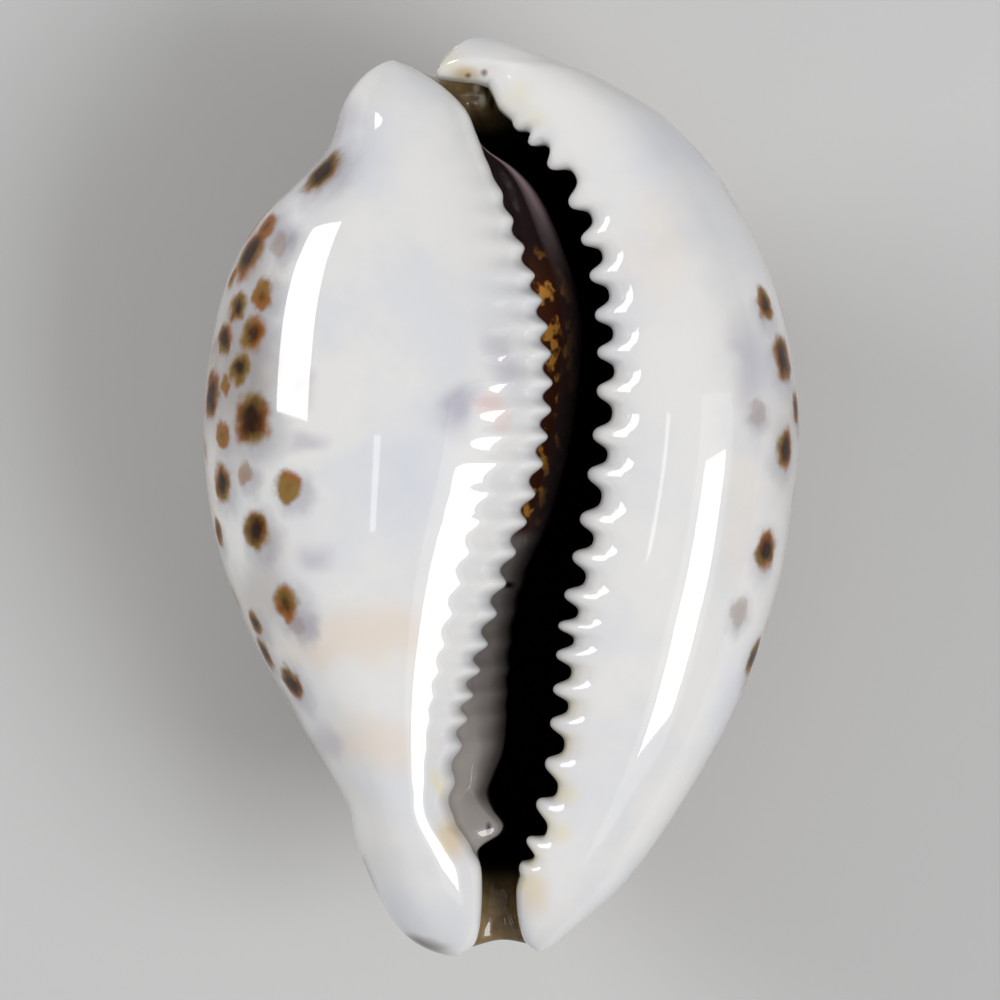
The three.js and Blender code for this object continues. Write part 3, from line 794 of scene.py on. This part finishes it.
DARK_OLIVE = (0.10, 0.075, 0.04, 1)
# Partly the olive ground between the flank spots and partly painted shade towards both margins.
OLIVE_GREY_AND_SHADE = (0.34, 0.30, 0.26, 1)
# Painted shade: black where two pits and a groove of the slit lie.
PAINTED_PIT_SHADE = (0.010, 0.006, 0.005, 1)
BROWN = (0.16, 0.08, 0.03, 1)
PALE_RIM = (0.62, 0.56, 0.44, 1)
SLIT_MARKS = (((-1.1, -30.9), (0.42, 0.95), PAINTED_PIT_SHADE, 1.0),
              ((0.8, -8.3), (0.9, 0.55), PAINTED_PIT_SHADE, 1.0),
              ((-6.0, 39.2), (1.5, 1.6), PALE_RIM, 0.9),
              ((-1.3, 37.8), (0.4, 0.9), PAINTED_PIT_SHADE, 0.8), ((-0.8, 36.6), (0.4, 1.0), PAINTED_PIT_SHADE, 0.8),
              ((-2.2, 38.0), (0.5, 0.8), PALE_RIM, 0.8),
              ((-1.7, 37.0), (0.5, 0.9), PALE_RIM, 0.8))
LIP_MARKS = (((-3.3, 39.1), (1.9, 0.9), TAN, 0.9), ((-3.0, 38.9), (0.45, 0.35), BROWN, 0.8),
             ((-1.5, 39.1), (0.5, 0.5), BROWN, 0.8), ((-4.6, -31.4), (2.3, 3.2), STAIN, 0.85),
             ((3.1, -36.6), (2.2, 3.4), STAIN, 0.6), ((6.1, -27.5), (1.8, 1.5), CREAM, 0.6),
             ((5.5, -31.0), (1.8, 1.6), CREAM, 0.6))
PATCHES = (((-12, -12.6), (10, 4.2), WARM, 0.6), ((-11.5, -22.5), (8, 3.8), WARM, 0.5),
           ((-17.5, -14.5), (4, 3), WARM, 0.45), ((-4.4, 7.6), (3.4, 3.4), GREY_VIOLET, 0.85),
           ((-0.6, 7.6), (2.6, 2.2), ROSE, 0.75),
           ((-0.4, 13.0), (3.0, 5.0), GREY_VIOLET, 0.55),
           ((-5.4, -26.4), (1.6, 3.0), CREAM, 0.75), ((3.4, 34.2), (2.6, 2.0), CREAM, 0.4),
           ((1.2, 36.4), (2.4, 2.0), CREAM, 0.4), ((-4.6, 40.0), (2.2, 1.8), CREAM, 0.6),
           ((-16.6, 31.6), (4.4, 3.0), GREY_VIOLET, 0.9),
           ((-14.6, 34.5), (2.6, 3.6), GREY_VIOLET, 0.7),
           ((-20.2, 23.4), (2.6, 2.8), GREY_VIOLET, 0.75),
           ((-17.7, 9.6), (2.2, 2.2), GREY_VIOLET, 0.55),
           ((-18.1, 4.9), (3.0, 1.9), GREY_VIOLET, 0.55),
           ((-17.0, -5.2), (3.2, 2.0), GREY_VIOLET, 0.5),
           ((-18.4, -12.0), (2.4, 1.8), GREY_VIOLET, 0.6),
           ((-15.7, -22.7), (2.6, 2.6), GREY_VIOLET, 0.5), ((-8, 2), (6, 9), BLUISH, 0.35),
           ((-12, 33), (5, 6), BLUISH, 0.25), ((15, 33), (7, 7), BLUISH, 0.3),
           ((22, -20), (5, 10), BLUISH, 0.3), ((-10, -39), (5, 5), BLUISH, 0.2),
           ((-7.6, -41.8), (4.2, 1.7), DARK_OLIVE, 0.9), ((-25, 13), (7, 16), OLIVE_GREY_AND_SHADE, 0.9),
           ((-22.5, -10), (4, 11), OLIVE_GREY_AND_SHADE, 0.5), ((27.5, 5), (4.5, 17), OLIVE_GREY_AND_SHADE, 0.4),
           ((14, 23), (5, 8), WARM, 0.25), ((22.4, -2.0), (3.4, 14), WARM, 0.22),
           ((23.2, 12), (3.0, 9), GREY_VIOLET, 0.55))


def height_on_flank(x, y):
    """The height of the outer face over a place on the left or the right flank."""
    curves = section(y)
    curve = curves["flank_left"][0] if x < 0 else curves["flank_right"][0]
    best = min((i / 200 for i in range(201)), key=lambda t: abs(curve(t)[0] - x))
    return curve(best)[1]


x, y, radius, strength = LEFT_SPOTS[0]
print("the first spot sits", round(height_on_flank(x, y), 1), "mm above the ground")

# %% [markdown]
# ## The shell's one material
#
# The base of a cowrie is white enamel with faint clouds of cream and blue-grey. The
# texture coordinates are the object's own, divided by `MM`, so every scale below is
# in millimetres. Added noise makes them wander: `drifting` bends the patches softly,
# and `ragged` frays the borders of the spots.

# %% Porcelain, patches and spots
WARM_WHITE = (0.84, 0.83, 0.815, 1)
COOL_WHITE = (0.77, 0.775, 0.80, 1)
RAGGEDNESS = (1.9, 1.9, 1.9)
DRIFT = (7, 5, 5)
FLATTEN = (1, 1, 0)
object_place = tree.nodes.new("ShaderNodeTexCoord").outputs["Object"]
place = add(tree, "ShaderNodeVectorMath", object_place, operation="SCALE")
place.inputs["Scale"].default_value = 1 / MM
place = place.outputs[0]
wobble = vector_maths(tree, "SUBTRACT", noise(tree, place, 0.55, 3).outputs["Color"],
                      (0.5, 0.5, 0.5))
ragged = vector_maths(tree, "ADD", place, vector_maths(tree, "MULTIPLY", wobble, RAGGEDNESS))
slow = vector_maths(tree, "SUBTRACT", noise(tree, place, 0.14, 2).outputs["Color"],
                    (0.5, 0.5, 0.5))
drifting = vector_maths(tree, "ADD", place, vector_maths(tree, "MULTIPLY", slow, DRIFT))

cloud = soft_step(tree, noise(tree, place, 0.10, 4, 0.6).outputs["Fac"], 0.38, 0.66)
colour = blend(tree, cloud, WARM_WHITE, COOL_WHITE)


def add_patches(below, patches, where, limit):
    """Soft ellipses seen from above the base, one over the other."""
    for centre, radii, tint, strength in patches:
        patch = add(tree, "ShaderNodeGroup", node_tree=patch_group)
        tree.links.new(where, patch.inputs["Place"])
        patch.inputs["Centre"].default_value = (centre[0], centre[1], 0)
        patch.inputs["Radii"].default_value = (radii[0], radii[1], 1)
        mask = maths(tree, "MULTIPLY", patch.outputs[0], strength)
        mask = maths(tree, "MULTIPLY", mask, limit)
        below = blend(tree, mask, below, tint)
    return below


on_base = maths(tree, "SUBTRACT", 1.0, vertex_mask(tree, "back"))
flat_place = vector_maths(tree, "MULTIPLY", place, FLATTEN)
flat_drifting = vector_maths(tree, "MULTIPLY", drifting, FLATTEN)
colour = add_patches(colour, PATCHES, flat_drifting, on_base)
colour = add_patches(colour, LIP_MARKS, flat_place, on_base)

core, halo, shadow = 0.0, 0.0, 0.0
for x, y, radius, strength in LEFT_SPOTS + RIGHT_SPOTS:
    spot = add(tree, "ShaderNodeGroup", node_tree=spot_group)
    tree.links.new(ragged, spot.inputs["Place"])
    spot.inputs["Centre"].default_value = (x, y, height_on_flank(x, y))
    spot.inputs["Radius"].default_value = radius * SPOT_SPREAD
    spot.inputs["Strength"].default_value = strength
    for name, so_far in (("Core", core), ("Halo", halo), ("Shadow", shadow)):
        if isinstance(so_far, bpy.types.NodeSocket):
            tree.links.new(so_far, spot.inputs[name])
    core, halo, shadow = spot.outputs["Core"], spot.outputs["Halo"], spot.outputs["Shadow"]
print(len(LEFT_SPOTS + RIGHT_SPOTS), "spots and", len(PATCHES), "patches")

# %% [markdown]
# The back carries many more spots on a ground that runs from beige to a warm tan.
# Voronoi cells scatter them: each cell has one centre, and the distance to it,
# compared with a size that the cell picks at random, gives a core and a halo. Close
# to a cell's border both fade out, or a big spot would be cut off in a straight
# line. A second, wider and blurred layer gives the shadows deep in the enamel.

# %% Scattered spots of the back
BEIGE = (0.70, 0.66, 0.60, 1)
WARM_TAN = (0.62, 0.45, 0.28, 1)
SHADOW_GREY = (0.36, 0.35, 0.40, 1)
HALO_ORANGE = (0.30, 0.10, 0.012, 1)
HALO_OLIVE = (0.26, 0.145, 0.028, 1)
PIGMENT = (0.018, 0.005, 0.002, 1)
BORDER_FADE = 0.09
GROUND_COVER = 0.75
SHADOW_COVER = 0.55
HALO_OPACITY = 0.97
CORE_OPACITY = 0.96


def scattered(scale, smallest, largest, blur):
    """Masks of the cores and of the halos of randomly placed spots."""
    cells = tree.nodes.new("ShaderNodeTexVoronoi")
    tree.links.new(ragged, cells.inputs["Vector"])
    cells.inputs["Scale"].default_value = scale
    own = tree.nodes.new("ShaderNodeSeparateColor")
    tree.links.new(cells.outputs["Color"], own.inputs[0])
    radius = maths(tree, "MULTIPLY_ADD", own.outputs[0], largest - smallest, smallest)
    near = maths(tree, "DIVIDE", cells.outputs["Distance"], radius)
    borders = tree.nodes.new("ShaderNodeTexVoronoi")
    borders.feature = "DISTANCE_TO_EDGE"
    tree.links.new(ragged, borders.inputs["Vector"])
    borders.inputs["Scale"].default_value = scale
    inside = soft_step(tree, borders.outputs["Distance"], 0.0, BORDER_FADE)
    cores = maths(tree, "MULTIPLY", soft_step(tree, near, 1.0 + blur, 1.0 - blur), inside)
    halos = maths(tree, "MULTIPLY", soft_step(tree, near, 1.6, 1.0), inside)
    return cores, halos


back = vertex_mask(tree, "back")
back_core, back_halo = scattered(0.17, 0.12, 0.42, 0.25)
deep_core = scattered(0.12, 0.25, 0.5, 0.6)[0]
tone = soft_step(tree, noise(tree, place, 0.06, 3).outputs["Fac"], 0.35, 0.65)
back_ground = blend(tree, tone, BEIGE, WARM_TAN)
colour = blend(tree, maths(tree, "MULTIPLY", back, GROUND_COVER), colour, back_ground)
shadow = maths(tree, "MAXIMUM", shadow, maths(tree, "MULTIPLY", back, deep_core))
halo = maths(tree, "MAXIMUM", halo, maths(tree, "MULTIPLY", back, back_halo))
core = maths(tree, "MAXIMUM", core, maths(tree, "MULTIPLY", back, back_core))
colour = blend(tree, maths(tree, "MULTIPLY", shadow, SHADOW_COVER), colour, SHADOW_GREY)
mottling = soft_step(tree, noise(tree, place, 0.35, 2).outputs["Fac"], 0.4, 0.6)
halo_tone = blend(tree, mottling, HALO_ORANGE, HALO_OLIVE)
colour = blend(tree, maths(tree, "MULTIPLY", halo, HALO_OPACITY), colour, halo_tone)
colour = blend(tree, maths(tree, "MULTIPLY", core, CORE_OPACITY), colour, PIGMENT)
print("the material has", len(tree.nodes), "nodes so far")

# %% [markdown]
# Through the slit one sees the older whorl, which kept the colours of the young
# shell: dark brown with ochre blotches. The ochre is painted lighter than it is, as
# painted light for the shaded slit, and the violet sheen where the whorl turns away is
# a painted reflection, lightened too. The front half of the slit shows a grey ledge
# instead, partly its own grey and partly painted shade, and both canals are stained
# tan. The grey in the flutes between the columellar ridges is painted shade as well.
# The vertex masks lay these zones over the enamel, from the palest to the darkest.
# Deep inside, where no light gets to, the face is painted almost black, as painted
# shade.

# %% Inside of the slit
DARK_OCHRE = (0.075, 0.023, 0.012, 1)
# Painted light: the bright ochre is lighter than the pigment, to make up for the shade in the
# slit.
BRIGHT_OCHRE = (0.72, 0.32, 0.06, 1)
DARK_WHORL = (0.020, 0.012, 0.012, 1)
# A painted reflection, lightened for the shaded slit: the violet sheen where the whorl turns
# away.
PAINTED_VIOLET_SHEEN = (0.45, 0.33, 0.35, 1)
# Painted shade in the flutes between the columellar ridges.
PAINTED_FLUTE_SHADE = (0.56, 0.56, 0.60, 1)
# The ledge grey is partly the ledge's own colour and partly painted shade; the next grey is
# painted shade further into the slit.
LEDGE_GREY_AND_SHADE = (0.34, 0.31, 0.295, 1)
DEEP_SHADE = (0.085, 0.072, 0.068, 1)
VALLEY_BROWN = (0.07, 0.032, 0.015, 1)
CANAL_BROWN = (0.15, 0.095, 0.04, 1)
CANAL_TAN = (0.26, 0.18, 0.085, 1)
# Painted shade deep inside, where no light gets to.
PAINTED_SHADE_BLACK = (0.004, 0.003, 0.003, 1)
FLUTE_SHADE_COVER = 0.45
CREAM_COVER = 0.8

blotch = noise(tree, place, 0.5, 3, 0.55).outputs["Fac"]
ochre = blend(tree, soft_step(tree, blotch, 0.49, 0.62), DARK_OCHRE, BRIGHT_OCHRE)
whorl_colour = blend(tree, vertex_mask(tree, "ochre"), DARK_WHORL, ochre)
whorl_colour = blend(tree, vertex_mask(tree, "painted_sheen"), whorl_colour, PAINTED_VIOLET_SHEEN)
mottled_tan = blend(tree, soft_step(tree, blotch, 0.3, 0.7), CANAL_BROWN, CANAL_TAN)
layers = (("flute_shade", FLUTE_SHADE_COVER, PAINTED_FLUTE_SHADE), ("cream", CREAM_COVER, CREAM),
          ("ledge", 1.0, LEDGE_GREY_AND_SHADE), ("shade", 1.0, DEEP_SHADE),
          ("whorl", 1.0, whorl_colour), ("valley", 1.0, VALLEY_BROWN),
          ("canal", 1.0, mottled_tan), ("dark", 1.0, PAINTED_SHADE_BLACK))
for name, cover, tint in layers:
    mask = maths(tree, "MULTIPLY", vertex_mask(tree, name), cover)
    colour = blend(tree, mask, colour, tint)
in_slit = maths(tree, "MAXIMUM", vertex_mask(tree, "canal"), vertex_mask(tree, "ledge"))
colour = add_patches(colour, SLIT_MARKS, flat_place, in_slit)
tree.links.new(colour, shader.inputs["Base Color"])
print(len(layers), "zones laid over the enamel, and", len(SLIT_MARKS), "small marks")

# %% [markdown]
# A living cowrie's mantle covers the shell and keeps it polished like glazed china.
# A low roughness alone could do that, but a clear coat with a high index keeps the
# gloss apart from the colour. The layer under it gets a low index, so it adds hardly
# any reflection of its own. The coat is thin over the pigment and left out deep
# inside, so these stay dark. A faint bump makes the reflections waver a little,
# because no shell is as even as a turned one.

# %% Gloss
SPOT_DULLNESS = 0.85
RIPPLE_HEIGHT = 0.12
for name, value in (("Roughness", 0.35), ("IOR", 1.15), ("Coat Roughness", 0.035),
                    ("Coat IOR", 1.6)):
    shader.inputs[name].default_value = value
dull_spots = maths(tree, "MULTIPLY", halo, SPOT_DULLNESS)
dulled = maths(tree, "MAXIMUM", vertex_mask(tree, "dark"), dull_spots)
polish = maths(tree, "SUBTRACT", 1.0, dulled)
tree.links.new(polish, shader.inputs["Coat Weight"])
ripple = tree.nodes.new("ShaderNodeBump")
ripple.inputs["Distance"].default_value = RIPPLE_HEIGHT * MM
ripple.inputs["Strength"].default_value = 0.25
tree.links.new(noise(tree, place, 0.22, 2).outputs["Fac"], ripple.inputs["Height"])
tree.links.new(ripple.outputs["Normal"], shader.inputs["Normal"])
cowrie.data.materials.append(porcelain)
print("the finished material has", len(tree.nodes), "nodes")

# %% [markdown]
# ## The studio
#
# A plain pale floor lies at the level of the rest spot, so the shell touches it. It
# is many times wider than the shell, so its edges stay far outside the view from
# above.

# %% Floor
FLOOR_HALF_WIDTH = 1.5
PALE_GREY = (0.6, 0.6, 0.6, 1)
bm = bmesh.new()
bmesh.ops.create_grid(bm, x_segments=1, y_segments=1, size=FLOOR_HALF_WIDTH)
floor_mesh = bpy.data.meshes.new("studio_floor")
bm.to_mesh(floor_mesh)
bm.free()
studio_floor = bpy.data.objects.new("studio_floor", floor_mesh)
studio_floor.location.z = shell_low.z
bpy.context.scene.collection.objects.link(studio_floor)
floor_material = bpy.data.materials.new("pale_floor")
floor_material.use_nodes = True
floor_shader = floor_material.node_tree.nodes["Principled BSDF"]
floor_shader.inputs["Base Color"].default_value = PALE_GREY
floor_shader.inputs["Roughness"].default_value = 0.8
studio_floor.data.materials.append(floor_material)
print("floor at", round(studio_floor.location.z * 1000, 2), "mm")

# %% [markdown]
# Gloss shows its lamps, so their shapes matter as much as their strength. Two large
# softboxes, low at the left and high at the right, give the long bright panels on
# the flank and beside the slit. A wider, weaker glow softens the right one, and a
# narrow strip almost overhead draws a thin line on each half of the base. The even
# grey world fills the shadows.

# %% Lights
def softbox(name, aside, rise, distance, width, height, watts):
    """A lamp at these degrees to the side and towards the posterior end from overhead."""
    aside, rise = math.radians(aside), math.radians(rise)
    back_axis = Vector((math.sin(aside) * math.cos(rise), math.sin(rise),
                        math.cos(aside) * math.cos(rise)))
    side_axis = Vector((0, 1, 0)).cross(back_axis).normalized()
    light = bpy.data.lights.new(name, "AREA")
    light.shape = "RECTANGLE"
    light.size = width
    light.size_y = height
    light.energy = watts
    lamp = bpy.data.objects.new(name, light)
    turn = Matrix((side_axis, back_axis.cross(side_axis), back_axis)).transposed()
    lamp.matrix_world = Matrix.Translation(shell_middle + back_axis * distance) @ turn.to_4x4()
    bpy.context.scene.collection.objects.link(lamp)


shell_middle = (shell_low + shell_high) / 2
softbox("left_softbox", -59, 22, 0.6, 0.22, 0.31, 1.7)
softbox("right_softbox", 36, -15.5, 0.6, 0.27, 0.29, 1.7)
softbox("right_glow", 36, -14, 0.62, 0.46, 0.5, 0.6)
softbox("overhead_strip", -12, 1, 0.6, 0.026, 0.11, 0.024)

WORLD_STRENGTH = 0.27
world = bpy.data.worlds.new("studio")
world.use_nodes = True
background = world.node_tree.nodes["Background"]
background.inputs["Color"].default_value = (1, 1, 1, 1)
background.inputs["Strength"].default_value = WORLD_STRENGTH
bpy.context.scene.world = world
bpy.context.scene.view_settings.view_transform = "Standard"
print(len(bpy.data.lights), "lamps around the shell")

# %% [markdown]
# The camera looks straight down on the base from far away through a long lens, so
# the near parts are hardly larger than the far ones. Its distance follows from the
# width that it should take in at the level of the shell's margin.

# %% Camera
VIEW_WIDTH = 93.3 * MM
VIEW_CENTRE = (-0.05, -0.37)
MARGIN_LEVEL = 30 * factor.z
LENS = 200
SENSOR = 36
camera_data = bpy.data.cameras.new("camera")
camera_data.lens = LENS
camera_data.sensor_width = SENSOR
camera = bpy.data.objects.new("camera", camera_data)
camera.location = (centre_x + VIEW_CENTRE[0] * MM, centre_y + VIEW_CENTRE[1] * MM,
                   shell_low.z + MARGIN_LEVEL + VIEW_WIDTH * LENS / SENSOR)
bpy.context.scene.collection.objects.link(camera)
bpy.context.scene.camera = camera
print("camera", round(camera.location.z, 3), "m above the ground")
